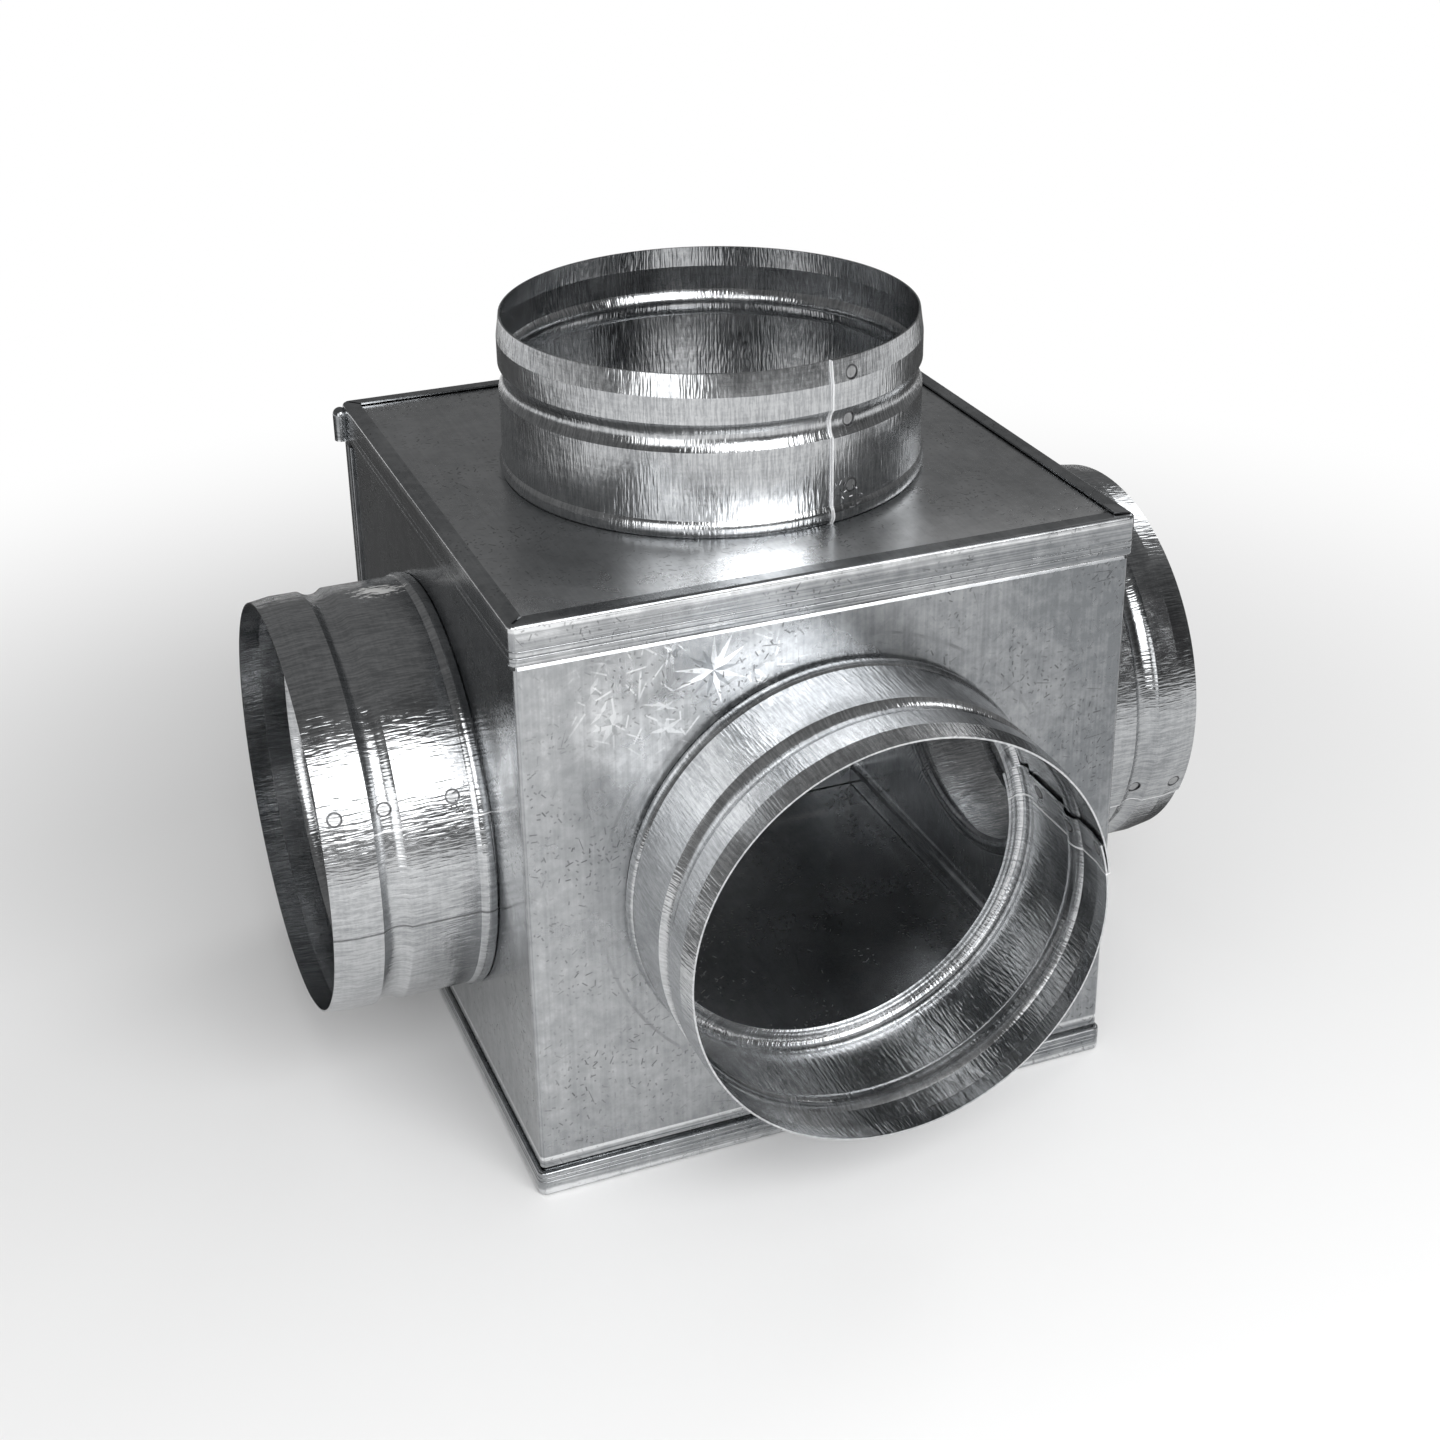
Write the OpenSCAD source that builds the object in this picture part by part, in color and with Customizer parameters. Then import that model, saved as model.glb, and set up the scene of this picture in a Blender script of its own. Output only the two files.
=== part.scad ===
// Duct splitter box: a sheet-steel casing with four round spigots.
// +X is the right spigot, -Y the front one and +Z the top one. The origin is the middle of the ground
// that the part covers, so the casing's own middle lies a little behind it.

/* [Casing] */
// Width of the casing over its side walls
box_w = 180; // [160:1:260]
// Depth of the casing over its front and back walls
box_d = 180; // [160:1:260]
// Height of the casing over its folded lips
box_h = 180; // [170:1:260]
// Thickness of the galvanised sheet
sheet_t = 0.5; // [0.4:0.05:0.7]
// Inside radius of the innermost ply at a wall corner
inner_bend_r = 0.3; // [0.2:0.1:2]

/* [Lock seams] */
// Height of the folded band round the top
top_band = 12; // [10:0.5:16]
// Height of the folded band round the bottom
bottom_band = 8; // [7:0.5:14]
// Width of the upright lock band at the back left corner
side_band = 7; // [6:0.5:12]
// Width of the lip that is hammered over a panel
lip_w = 5; // [4:0.5:8]
// How far a band stands proud of its wall
band_proud = 1.1; // [0.8:0.1:1.6]
// Gap between the two plies of a closed fold
ply_gap = 0.1; // [0.05:0.05:0.2]
// Play of a panel's flange in its pocket, on each side
lock_play = 0.1; // [0.05:0.05:0.2]
// Gap between a hammered lip and the panel under it
lip_gap = 0.4; // [0.1:0.1:0.6]
// Outer radius of the hammered lip's bend
lip_bend_r = 1.2; // [1.1:0.1:1.6]
// Height of the set-back where the wall steps in behind a band
joggle_h = 1.2; // [1:0.1:3]
// Width of the mitre gap between two lips at a corner
mitre_gap = 0.7; // [0.4:0.1:1.5]
// Depth of the roller creases along a band
crease_d = 0.15; // [0.05:0.05:0.2]
// Radius of the rolled ear where the top band ends at the back left corner
ear_r = 2.3; // [1.5:0.1:3]
// How far the ear stands out from the band
ear_out = 3.4; // [2:0.1:4]
// Length of the right lip's front end, which is bent up a little
tab_len = 7; // [4:0.5:12]
// Angle by which that end is bent up
tab_tilt = 9; // [4:1:15]

/* [Spigots] */
// Outer radius of a spigot, for 125 mm round duct
spigot_r = 62; // [45:0.5:65]
// Length of a spigot from its wall to its rim
spigot_len = 47; // [40:1:80]
// Thickness of the spigot's sheet
tube_t = 0.5; // [0.4:0.05:0.6]
// Length of the tapered lead-in at the rim
lead_len = 6.4; // [3:0.2:10]
// How much smaller the rim's radius is than the spigot's
lead_drop = 0.9; // [0.3:0.1:1.5]
// Distance from the wall to the middle of the rolled groove
groove_pos = 29; // [18:0.5:30]
// Width of the rolled groove
groove_w = 8; // [6:0.5:11]
// Depth of the rolled groove
groove_d = 1.5; // [1:0.1:1.8]
// Width of the bead that clamps the wall from outside
bead_w = 5; // [4:0.5:7]
// Height of the bead that clamps the wall from outside
bead_h = 0.9; // [0.6:0.1:1.1]
// Width of the flange that clamps the wall from inside
flange_w = 5; // [3:0.5:8]
// Inside radius of the bend between tube and flange
flange_bend_r = 0.3; // [0.2:0.1:0.5]
// Clearance between a spigot and the edge of its wall hole
hole_gap = 0.3; // [0.2:0.1:0.5]
// Clearance between a wall and the bead or flange that clamps it
seat_gap = 0.05; // [0.02:0.01:0.1]

/* [Lap seam] */
// Angle that the under ply runs below the outer ply
lap_angle = 12; // [8:1:20]
// Angle over which the tube sinks down to the under ply
sink_angle = 40; // [30:1:60]
// Depth of the step at the outer ply's edge
lap_step = 0.75; // [0.7:0.05:1]
// Radius of a spot weld's dimple
weld_r = 2; // [1:0.1:2.5]
// Depth of a spot weld's dimple
weld_d = 0.15; // [0.05:0.05:0.25]
// Distance from the rim to the first spot weld
rim_weld = 4.2; // [3:0.1:6]
// Distance from the wall to the last spot weld
wall_weld = 10; // [8:0.5:14]
// Turn of the top spigot's seam about its axis
top_seam = -79; // [-180:1:180]
// Turn of the left spigot's seam about its axis
left_seam = -72; // [-180:1:180]
// Turn of the front spigot's seam about its axis
front_seam = 7; // [-180:1:180]
// Turn of the right spigot's seam about its axis
right_seam = -64; // [-180:1:180]

/* [Hidden] */
$fn = 96;

// Distances outward from the wall's outer face to the faces of the lock's plies
outer_ply_in = band_proud - sheet_t;
pocket_w = sheet_t + 2 * lock_play;
middle_ply_out = outer_ply_in - pocket_w;
middle_ply_in = middle_ply_out - sheet_t;
inner_ply_out = middle_ply_in - ply_gap;
inner_ply_in = inner_ply_out - sheet_t;
corner_r = inner_bend_r - inner_ply_in;

// Inner and outer radii of the closed fold beside the panel and the open fold of the pocket
tight_in = ply_gap / 2;
tight_out = tight_in + sheet_t;
open_in = pocket_w / 2;
open_out = open_in + sheet_t;

// The sheet of a panel, its turned edge and its place in the lock
panel_fold_r = 0.1;
flange_out = outer_ply_in - lock_play;
panel_bend_r = sheet_t + panel_fold_r;
side_lip_gap = lock_play;
joggle_gap = 0.1;
notch_gap = 0.3;
creases = [0.62, 0.78];

// How far a cutter reaches past what it cuts, and a lip into its bend
over = 1;
tiny = 0.01;

// How far the casing's middle lies behind the middle of the ground that the part covers
casing_back = (spigot_len - band_proud) / 2;

// Heights where the plain wall ends and the set-back to a band begins
wall_top = box_h - top_band - joggle_gap - joggle_h;
wall_bottom = bottom_band + joggle_gap + joggle_h;

// The shape of a spigot along its axis, from its wall outward
flange_top = -(sheet_t + seat_gap);
lead_start = spigot_len - lead_len;
bead_pos = seat_gap + bead_w / 2;
hole_r = spigot_r + hole_gap;

// Radii of the arcs that span the bead's and the groove's width at their height and depth
bead_arc = arc_radius(bead_w, bead_h);
groove_arc = arc_radius(groove_w, groove_d);

// How deep the core reaches that stands for the air inside a spigot's section
core_depth = 3 * (groove_d + bead_h);

// How far the axis of the sunk stretch lies beside the spigot's own, in whole microns
sink_shift = round(1000 * lap_step / (1 - cos(sink_angle))) / 1000;
slit_angle = 1;

// How far a weld's rod reaches down from the outer ply's face, into the under ply
weld_reach = lap_step + 3 * tube_t / 2;

// Radius of the arc over a chord of a given width that rises to a given height
function arc_radius(width, height) = (width * width / 4 + height * height) / (2 * height);

// Part of a ring between two angles, which are less than half a turn apart
module arc_band(inner, outer, from, to) {
    reach = 2 * outer;
    middle = (from + to) / 2;
    intersection() {
        difference() {
            circle(r = outer);
            circle(r = inner);
        }
        polygon([[0, 0], reach * [cos(from), sin(from)], reach * [cos(middle), sin(middle)],
                 reach * [cos(to), sin(to)]]);
    }
}

// Rectangle between two corners
module span(x0, y0, x1, y1) {
    translate([min(x0, x1), min(y0, y1)]) square([abs(x1 - x0), abs(y1 - y0)]);
}

// Section of a lock seam: x is outward from the wall's outer face, y is zero at the lip's outer face.
// The wall comes from below, steps in, folds back beside the panel, and folds again round the pocket.
module lock_section(band, gap) {
    panel_under = -(2 * sheet_t + gap);
    tight_y = panel_under - lock_play - tight_out;
    open_y = -band + open_out;
    step_y = -band - joggle_gap;
    difference() {
        union() {
            polygon([[-sheet_t, step_y - joggle_h], [0, step_y - joggle_h], [inner_ply_out, step_y],
                     [inner_ply_in, step_y]]);
            span(inner_ply_in, step_y, inner_ply_out, tight_y);
            translate([inner_ply_out + tight_in, tight_y]) {
                arc_band(tight_in, tight_out, 0, 90);
                arc_band(tight_in, tight_out, 90, 180);
            }
            span(middle_ply_in, open_y, middle_ply_out, tight_y);
            translate([middle_ply_out + open_in, open_y]) {
                arc_band(open_in, open_out, 180, 270);
                arc_band(open_in, open_out, 270, 360);
            }
            span(outer_ply_in, open_y, band_proud, -lip_bend_r);
            translate([band_proud - lip_bend_r, -lip_bend_r]) arc_band(lip_bend_r - sheet_t, lip_bend_r, 0, 90);
        }
        for (crease = creases)
            translate([band_proud + crease_d, -band * crease]) circle(r = 2 * crease_d);
    }
}

// Both horizontal lock seams of a wall, without the plain wall between them
module band_section() {
    translate([0, box_h]) lock_section(top_band, lip_gap);
    mirror([0, 1]) lock_section(bottom_band, lip_gap);
}

// A wall with both of its horizontal lock seams
module wall_section() {
    band_section();
    span(-sheet_t, wall_bottom, 0, wall_top);
}

// Extrudes a section along a straight side, with x outward, from one distance along the side to another.
// Side 0 is the front, 1 the right, 2 the back and 3 the left. Distances run from the side's middle.
module run(side, from, to) {
    reach = side % 2 == 0 ? box_d / 2 : box_w / 2;
    rotate([0, 0, 90 * side])
        translate([from, -reach, 0])
            rotate([90, 0, 90]) linear_extrude(to - from) mirror([1, 0]) children();
}

// Turns a section round the corner that follows a side
module bend(side) {
    x = side % 2 == 0 ? box_w / 2 : box_d / 2;
    y = side % 2 == 0 ? box_d / 2 : box_w / 2;
    rotate([0, 0, 90 * side])
        translate([x - corner_r, -(y - corner_r), 0])
            rotate([0, 0, -90]) rotate_extrude(angle = 90) translate([corner_r, 0]) children();
}

// Half the straight length of a side, between its corner bends
function half_side(side) = (side % 2 == 0 ? box_w : box_d) / 2 - corner_r;

// Where the left wall ends and its set-back to the upright lock begins
side_lock_y = box_d / 2 + side_lip_gap + sheet_t;
side_wall_end = side_lock_y - side_band - joggle_gap - joggle_h;

// One hammered lip frame: a flat ring of sheet inside the band
module lip_frame() {
    inset = lip_w - band_proud;
    bend_line = lip_bend_r - band_proud;
    linear_extrude(sheet_t) difference() {
        rounded_plate(bend_line - tiny);
        square([box_w - 2 * inset, box_d - 2 * inset], center = true);
    }
}

// Outline of the casing, set in by an inset
module rounded_plate(inset) {
    r = corner_r - inset;
    w = box_w - 2 * inset;
    d = box_d - 2 * inset;
    square([w, d - 2 * r], center = true);
    square([w - 2 * r, d], center = true);
    for (x = [-1, 1])
        for (y = [-1, 1])
            translate([x * (w / 2 - r), y * (d / 2 - r)]) circle(r = r);
}

// Cutters of the mitre gaps at the four corners, down to a depth
module mitre_cuts(height) {
    reach = lip_w + corner_r + band_proud;
    for (x = [-1, 1])
        for (y = [-1, 1])
            translate([x * box_w / 2, y * box_d / 2, 0])
                rotate([0, 0, 45 * x * y])
                    translate([0, 0, height / 2]) cube([2 * reach, mitre_gap, height], center = true);
}

// Cutter of the gap where the two ends of the wrap meet, through both bands at the back left corner
module wrap_end_cut() {
    reach = lip_w + corner_r + band_proud;
    translate([-box_w / 2, box_d / 2, box_h / 2])
        rotate([0, 0, -45]) cube([2 * reach, mitre_gap, box_h + 2 * over], center = true);
}

// Lock bands and lips on all four sides, with their corner bends
module lock_bands() {
    difference() {
        union() {
            run(2, half_side(2) - 2 * side_band, half_side(2)) band_section();
            run(3, -half_side(3), side_band - half_side(3)) band_section();
            bend(2) band_section();
            lip_frame();
            translate([0, 0, box_h - sheet_t]) lip_frame();
        }
        translate([0, 0, -over]) mitre_cuts(over + lip_bend_r);
        translate([0, 0, box_h - lip_bend_r]) mitre_cuts(over + lip_bend_r);
        wrap_end_cut();
        tab_cut();
    }
}

// Where the right lip's bent-up end starts at its bend, with y at the front corner's end of the lip
module at_tab() {
    translate([box_w / 2 + band_proud - lip_bend_r, -box_d / 2 + corner_r, box_h - sheet_t]) children();
}

// Cutter that takes the flat end off the right lip
module tab_cut() {
    at_tab() translate([-lip_w, -over, -tiny]) cube([lip_w - tiny, tab_len + over, sheet_t + over]);
}

// The right lip's front end, bent up from the same fold
module raised_tab() {
    reach = lip_w + lip_bend_r / 3;
    at_tab() rotate([0, tab_tilt, 0])
        translate([tiny - lip_w, 0, 0]) cube([reach, tab_len - notch_gap, sheet_t]);
}

// The rolled ear at the back left corner: a hollow stub with a round top, open below
module corner_ear() {
    z0 = box_h - top_band - joggle_gap;
    z1 = box_h - lip_bend_r - ear_r;
    at = [-(box_w / 2 + band_proud + ear_out - ear_r), box_d / 2 + band_proud - ear_r - 2 * lock_play, 0];
    difference() {
        translate(at) difference() {
            ear_body(ear_r, z0, z1);
            ear_body(ear_r - sheet_t, z0 - over, z1);
        }
        translate([-(box_w / 2 + outer_ply_in), 0, z0 - over]) cube([2 * ear_r, box_d, top_band + 2 * over]);
    }
}

// A round stub from one height to another, with a half ball on top
module ear_body(r, z0, z1) {
    rotate_extrude() {
        span(0, z0, r, z1);
        intersection() {
            translate([0, z1]) circle(r = r);
            span(0, z1 - tiny, r, z1 + r);
        }
    }
}

// The upright lock at the back left corner: pocket on the left wall, flange on the back wall
module side_lock() {
    z0 = wall_bottom + notch_gap;
    z1 = wall_top - notch_gap;
    translate([-box_w / 2, side_lock_y, z0]) linear_extrude(z1 - z0) {
        mirror([1, 0]) lock_section(side_band, side_lip_gap);
        span(lip_bend_r - band_proud, -sheet_t, lip_w - band_proud, 0);
    }
    flange_end = side_lock_y - side_band + open_out;
    bend_x = -box_w / 2 - flange_out + panel_bend_r;
    bend_y = box_d / 2 - panel_bend_r;
    translate([0, 0, z0]) linear_extrude(z1 - z0) {
        span(-box_w / 2 - flange_out, flange_end, -box_w / 2 - flange_out + sheet_t, bend_y);
        translate([bend_x, bend_y]) arc_band(panel_bend_r - sheet_t, panel_bend_r, 90, 180);
        span(bend_x, box_d / 2 - sheet_t, -half_side(2) + side_band, box_d / 2);
    }
}

// Moves a piece from the casing's own middle to its place in the part's frame
module in_place() {
    translate([0, casing_back, 0]) children();
}

// The four walls as one bent sheet, with the holes for the side spigots
module casing_wrap() {
    color("silver") in_place() difference() {
        union() {
            for (side = [0, 1]) {
                run(side, -half_side(side), half_side(side)) wall_section();
                bend(side) wall_section();
            }
            run(2, -half_side(2), half_side(2) - side_band) wall_section();
            run(3, -side_wall_end, half_side(3)) wall_section();
            bend(3) wall_section();
            lock_bands();
            side_lock();
            raised_tab();
            corner_ear();
        }
        on_left() wall_hole();
        on_front() wall_hole();
        on_right() wall_hole();
    }
}

// Hole that a spigot passes through, with z outward and zero at the wall's outer face
module wall_hole() {
    translate([0, 0, -sheet_t - over]) cylinder(r = hole_r, h = sheet_t + 2 * over);
}

// Section of a panel's turned edge: x outward, y up with zero at the panel's outer face
module edge_section(band, gap) {
    flange_end = -band + open_out + sheet_t + gap;
    bend_x = flange_out - panel_bend_r;
    span(flange_out - sheet_t, flange_end, flange_out, -panel_bend_r);
    translate([bend_x, -panel_bend_r]) arc_band(panel_bend_r - sheet_t, panel_bend_r, 0, 90);
}

// A flat panel with four turned flanges, seen with its outer face up at zero
module panel(band) {
    inset = panel_bend_r - flange_out;
    for (side = [0:3])
        run(side, -half_side(side), half_side(side)) edge_section(band, lip_gap);
    translate([0, 0, -sheet_t]) linear_extrude(sheet_t) difference() {
        square([box_w - 2 * inset, box_d - 2 * inset], center = true);
        for (x = [-1, 1])
            for (y = [-1, 1])
                translate([x * box_w / 2, y * box_d / 2])
                    square(2 * corner_r, center = true);
    }
}

// Flat top sheet with its turned edges in the top lock and the hole for the top spigot
module top_panel() {
    color("lightgray") in_place() difference() {
        translate([0, 0, box_h - sheet_t - lip_gap]) panel(top_band);
        on_top() wall_hole();
    }
}

// Flat bottom sheet with its turned edges in the bottom lock
module bottom_panel() {
    color("lightgray") in_place() translate([0, 0, sheet_t + lip_gap]) mirror([0, 0, 1]) panel(bottom_band);
}

// Everything inside one face of a spigot's sheet: x is the radius, y the distance along the axis.
// The outer face has a depth of zero, and the inner face has the sheet's thickness.
module inside_face(depth) {
    face_r = spigot_r - depth;
    core_r = spigot_r - core_depth;
    difference() {
        union() {
            span(core_r, flange_top + flange_bend_r, face_r, lead_start);
            polygon([[core_r, lead_start], [face_r, lead_start], [face_r - lead_drop, spigot_len],
                     [core_r, spigot_len]]);
            translate([spigot_r + bead_h - bead_arc, bead_pos]) circle(r = bead_arc - depth);
        }
        translate([spigot_r - groove_d + groove_arc, groove_pos]) circle(r = groove_arc + depth);
    }
}

// Section of a spigot's tube from the wall's hole to the rim
module tube_section() {
    difference() {
        inside_face(0);
        inside_face(tube_t);
    }
}

// Section of the flange that clamps the wall from inside, with its bend
module flange_section() {
    translate([spigot_r + flange_bend_r, flange_top + flange_bend_r])
        arc_band(flange_bend_r, flange_bend_r + tube_t, 180, 270);
    span(spigot_r + flange_bend_r, flange_top - tube_t, spigot_r + flange_w, flange_top);
}

// Turns a section about an axis beside the spigot's own, so that the sheet sinks as it turns
module sunk_sheet(angle) {
    translate([sink_shift, 0, 0]) rotate_extrude(angle = angle) translate([-sink_shift, 0]) children();
}

// A rod along the radius in the middle of the lap, from one radius to another
module lap_rod(from, to, level, r) {
    rotate([0, 0, sink_angle + lap_angle / 2]) translate([from, 0, level])
        rotate([0, 90, 0]) cylinder(r = r, h = to - from);
}

// Rolled spigot along z. Its sheet starts as the outer ply, which lies beyond the sink angle, goes
// round, sinks below its own start and ends as the under ply. Three spot welds hold the lap.
module rolled_spigot() {
    welds = [[spigot_r - lead_drop * (lead_len - rim_weld) / lead_len, spigot_len - rim_weld],
             [spigot_r - groove_d, groove_pos], [spigot_r, wall_weld]];
    difference() {
        union() {
            mirror([0, 1, 0]) rotate_extrude(angle = 360 - sink_angle) {
                tube_section();
                flange_section();
            }
            sunk_sheet(sink_angle + lap_angle) tube_section();
            sunk_sheet(sink_angle - slit_angle) flange_section();
            for (weld = welds)
                lap_rod(weld[0] - weld_reach, weld[0] - tube_t / 2, weld[1], weld_r / 2);
        }
        for (weld = welds)
            lap_rod(weld[0] - weld_d, weld[0] + weld_r, weld[1], weld_r);
    }
}

// Spigot with its outer ply's edge at the seam's angle. Seen from outside, the lap lies
// counter-clockwise of that edge where the hand is 1, and clockwise where it is -1.
module collar(seam, hand) {
    rotate([0, 0, seam - hand * sink_angle]) {
        if (hand == 1) rolled_spigot();
        if (hand == -1) mirror([0, 1, 0]) rolled_spigot();
    }
}

// Places a spigot or its hole on a wall, with z outward
module on_top() {
    translate([0, 0, box_h - sheet_t - lip_gap]) children();
}
module on_left() {
    translate([-box_w / 2, 0, box_h / 2]) rotate([0, -90, 0]) children();
}
module on_front() {
    translate([0, -box_d / 2, box_h / 2]) rotate([90, 0, 0]) children();
}
module on_right() {
    translate([box_w / 2, 0, box_h / 2]) rotate([0, 90, 0]) children();
}

// Rolled round spigots
module top_collar() {
    color("gainsboro") in_place() on_top() collar(top_seam, 1);
}
module left_collar() {
    color("gainsboro") in_place() on_left() collar(left_seam, 1);
}
module front_collar() {
    color("gainsboro") in_place() on_front() collar(front_seam, 1);
}
module right_collar() {
    color("gainsboro") in_place() on_right() collar(right_seam, -1);
}

casing_wrap();
top_panel();
bottom_panel();
top_collar();
left_collar();
front_collar();
right_collar();
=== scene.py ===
"""Studio scene of a galvanised duct splitter box with four round spigots.

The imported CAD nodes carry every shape. This script gives each of them its rolled,
rippled and zinc-coated finish, and adds the floor, the dim studio round it, the soft
boxes and the camera.
"""
import logging
import math
from dataclasses import dataclass
from enum import Enum
from typing import Optional, Sequence, Tuple, Union

import bpy
import numpy as np
from mathutils import Matrix, Vector

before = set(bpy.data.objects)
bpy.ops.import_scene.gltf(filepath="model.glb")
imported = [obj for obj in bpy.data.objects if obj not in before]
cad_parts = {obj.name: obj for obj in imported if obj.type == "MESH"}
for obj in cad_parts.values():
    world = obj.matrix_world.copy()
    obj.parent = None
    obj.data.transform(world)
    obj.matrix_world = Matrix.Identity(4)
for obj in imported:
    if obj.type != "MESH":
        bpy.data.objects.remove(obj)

LOG = logging.getLogger("splitter_box")
Colour = Tuple[float, float, float]
Point = Tuple[float, float, float]
Socket = bpy.types.NodeSocket
Value = Union[float, Socket]
Pair = Tuple[float, float]
Oval = Tuple[Pair, Pair]
Triple = Tuple[Socket, Socket, Socket]
MM = 0.001
# Half of the casing's side, its middle's height, and how far that lies behind the origin
HALF_SIDE = 90.0 * MM
MIDDLE = HALF_SIDE
BACK = 22.95 * MM
# Height of the top panel's face, which lies inside its lock band
PANEL_TOP = 179.1 * MM
# Grey values between which most of a noise lies, and a narrower range round its middle
MOST_GREYS = (0.3, 0.7)
MID_GREYS = (0.35, 0.65)


class Side(Enum):
    """The four faces of the casing that carry a spigot."""

    TOP = "top"
    LEFT = "left"
    FRONT = "front"
    RIGHT = "right"


@dataclass(frozen=True)
class Seam:
    """Where a spigot's lap seam lies, as its part drawing gives it.

    Turn is the angle of the outer ply's edge and lap the angle that the plies share, both in
    degrees. Hand is 1 where the lap lies counter-clockwise of that edge and -1 where it lies
    clockwise. Welds are the heights of the spot welds over the wall, in millimetres.
    """

    turn: float
    hand: int
    lap: float = 12.0
    welds: Tuple[float, ...] = (10.0, 29.0, 42.8)

    def middle(self) -> float:
        """Return the angle of the lap's middle, in radians."""
        return math.radians(self.turn + self.hand * self.lap / 2)


class NodeGraph:
    """A material's node tree, with short calls for the nodes that the finishes use."""

    def __init__(self, name: str) -> None:
        """Make an empty material that holds one metal shader.

        Args:
            name: The material's name.
        """
        self.material = bpy.data.materials.new(name)
        self.material.use_nodes = True
        self.tree = self.material.node_tree
        self.tree.nodes.clear()
        self.shader = self.tree.nodes.new("ShaderNodeBsdfPrincipled")
        self.surface = self.tree.nodes.new("ShaderNodeOutputMaterial").inputs["Surface"]
        self.tree.links.new(self.shader.outputs["BSDF"], self.surface)

    def feed(self, socket: Socket, value: Union[Value, Sequence[float]]) -> None:
        """Put a link or a constant into a socket.

        Args:
            socket: The input socket.
            value: Another node's output, or the constant.
        """
        if isinstance(value, bpy.types.NodeSocket):
            self.tree.links.new(value, socket)
        else:
            socket.default_value = value

    def coordinates(self, name: str = "Object") -> Socket:
        """Return the named output of a texture coordinate node."""
        return self.tree.nodes.new("ShaderNodeTexCoord").outputs[name]

    def math(self, operation: str, first: Value, second: Value = 0.0) -> Socket:
        """Add a math node.

        Args:
            operation: Blender's name of the operation.
            first: First operand.
            second: Second operand.

        Returns:
            The result's socket.
        """
        node = self.tree.nodes.new("ShaderNodeMath")
        node.operation = operation
        for index, value in enumerate((first, second)):
            self.feed(node.inputs[index], value)
        return node.outputs[0]

    def add(self, first: Value, second: Value) -> Socket:
        """Return the sum of two numbers."""
        return self.math("ADD", first, second)

    def less(self, first: Value, second: Value) -> Socket:
        """Return the first number less the second."""
        return self.math("SUBTRACT", first, second)

    def times(self, first: Value, second: Value) -> Socket:
        """Return the product of two numbers."""
        return self.math("MULTIPLY", first, second)

    def over(self, first: Value, second: Value) -> Socket:
        """Return the first number divided by the second."""
        return self.math("DIVIDE", first, second)

    def most(self, first: Value, second: Value) -> Socket:
        """Return the greater of two numbers."""
        return self.math("MAXIMUM", first, second)

    def size(self, value: Value) -> Socket:
        """Return a number without its sign."""
        return self.math("ABSOLUTE", value)

    def length(self, first: Value, second: Value) -> Socket:
        """Return the length of a flat vector."""
        return self.math("SQRT", self.add(self.times(first, first), self.times(second, second)))

    def turned(self, first: Value, second: Value, angle: Value) -> Tuple[Socket, Socket]:
        """Return a flat place's distances along and across a direction, given in radians."""
        cosine, sine = self.math("COSINE", angle), self.math("SINE", angle)
        along = self.add(self.times(first, cosine), self.times(second, sine))
        across = self.less(self.times(second, cosine), self.times(first, sine))
        return along, across

    def split(self, vector: Socket) -> Triple:
        """Return the three parts of a vector."""
        node = self.tree.nodes.new("ShaderNodeSeparateXYZ")
        self.feed(node.inputs[0], vector)
        return node.outputs[0], node.outputs[1], node.outputs[2]

    def join(self, x: Value, y: Value, z: Value = 0.0) -> Socket:
        """Return a vector made of three parts."""
        node = self.tree.nodes.new("ShaderNodeCombineXYZ")
        for index, value in enumerate((x, y, z)):
            self.feed(node.inputs[index], value)
        return node.outputs[0]

    def noise(self, vector: Socket, scale: float, detail: float = 3.0,
              roughness: float = 0.5, distortion: float = 0.0) -> Socket:
        """Add a noise texture.

        Args:
            vector: Where it is read.
            scale: Patches per metre.
            detail: Octaves.
            roughness: How strong the finer octaves are.
            distortion: How much the pattern is warped.

        Returns:
            Its grey value, about 0.2 to 0.8.
        """
        node = self.tree.nodes.new("ShaderNodeTexNoise")
        self.feed(node.inputs["Vector"], vector)
        node.inputs["Scale"].default_value = scale
        node.inputs["Detail"].default_value = detail
        node.inputs["Roughness"].default_value = roughness
        node.inputs["Distortion"].default_value = distortion
        return node.outputs["Fac"]

    def scatter(self, u: Value, v: Value, scale: float,
                seed: float) -> Tuple[Socket, Socket, Triple]:
        """Scatter points over a sheet, one to a cell.

        Args:
            u: Distance along the sheet.
            v: Distance across the sheet.
            scale: Cells per metre.
            seed: Shifts the points.

        Returns:
            The distances from the cell's own point along u and v, and its three random numbers.
        """
        node = self.tree.nodes.new("ShaderNodeTexVoronoi")
        node.voronoi_dimensions = "2D"
        shifted = self.add(u, seed)
        self.feed(node.inputs["Vector"], self.join(shifted, v))
        node.inputs["Scale"].default_value = scale
        middle = self.split(node.outputs["Position"])
        return (self.less(shifted, middle[0]), self.less(v, middle[1]),
                self.split(node.outputs["Color"]))

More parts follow.
